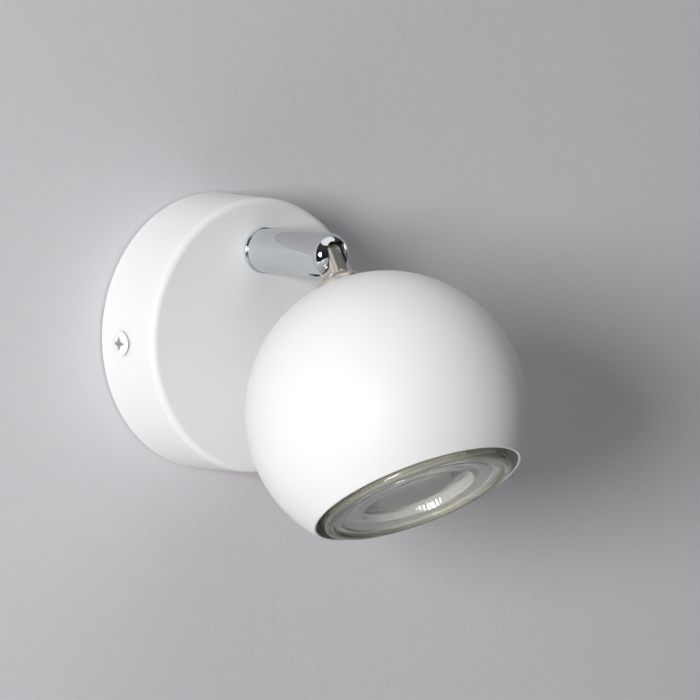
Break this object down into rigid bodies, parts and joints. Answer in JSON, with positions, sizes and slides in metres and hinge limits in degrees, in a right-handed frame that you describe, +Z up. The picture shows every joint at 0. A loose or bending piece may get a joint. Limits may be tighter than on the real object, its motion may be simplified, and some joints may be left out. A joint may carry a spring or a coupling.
{
  "type": "wall spotlight",
  "caption": "White ball-shaped spotlight with a clear twist-lock lamp, tilting on a slotted chrome arm that swivels on a round white wall base.",
  "frame": {"origin": "centre of the base's open back, on the wall, midway between the bracket's two wall slots", "axes": "+Y into the wall, so the light stands out along -Y; +Z up; +X to the right of someone facing it"},
  "size_m": [0.0756, 0.1062, 0.0872],
  "materials": {
    "white_paint": "white satin powder coat on sheet steel",
    "chrome": "polished chrome plate",
    "nickel": "polished nickel plate",
    "zinc_steel": "zinc plated steel",
    "pin_nickel": "nickel plated pins",
    "brass": "bright brass",
    "terminal_plastic": "natural nylon",
    "steatite": "unglazed white ceramic",
    "cap_plastic": "white moulded plastic",
    "clear_glass": "clear pressed glass",
    "clear_optic": "clear moulded lens, finely textured dome",
    "cast_aluminium": "die cast",
    "board_mask": "white solder mask",
    "phosphor": "yellow phosphor",
    "driver_laminate": "green circuit laminate",
    "white_sleeve": "white silicone sleeve",
    "earth_sleeve": "green and yellow sleeve"
  },
  "bodies": {
    "base": {"base_cover": "white_paint", "wall_bracket": "zinc_steel", "cover_screws": "white_paint", "terminal_block": "terminal_plastic", "terminal_barrels": "brass", "terminal_screws": "zinc_steel", "block_screws": "zinc_steel", "earth_screw": "brass", "earth_tag": "brass", "earth_lead": "earth_sleeve", "base_leads": "white_sleeve"},
    "arm": {"arm_tube": "chrome", "pivot_screw": "chrome", "foot_ring": "chrome", "arm_nipple": "zinc_steel", "stop_washer": "zinc_steel", "spring_washer": "zinc_steel", "arm_nut": "zinc_steel", "arm_leads": "white_sleeve"},
    "head": {"knuckle": "nickel", "knuckle_leads": "white_sleeve", "shade": "white_paint", "crown_washer": "zinc_steel", "head_nut": "zinc_steel", "holder_bracket": "zinc_steel", "lamp_holder": "steatite", "holder_contacts": "brass", "holder_screws": "zinc_steel", "head_leads": "white_sleeve"},
    "lamp": {"lamp_cap": "cap_plastic", "lamp_pins": "pin_nickel", "lamp_glass": "clear_glass", "lamp_optic": "clear_optic", "heat_sink": "cast_aluminium", "led_board": "board_mask", "led_chips": "phosphor", "driver_board": "driver_laminate"}
  },
  "joints": [
    {"name": "arm_swivel", "type": "hinge", "parent": "base", "child": "arm", "pos_m": [0, -0.0204, 0.0225], "axis": [0, -1, 0], "range_deg": [-165, 165]},
    {"name": "head_tilt", "type": "hinge", "parent": "arm", "child": "head", "pos_m": [0, -0.04725, 0.0225], "axis": [-1, 0, 0], "range_deg": [-17, 59], "deforming": ["knuckle_leads"]},
    {"name": "lamp_twist", "type": "hinge", "parent": "head", "child": "lamp", "pos_m": [0, -0.06152, -0.00153], "axis": [0, -0.5105, -0.8599], "range_deg": [0, 20]}
  ]
}
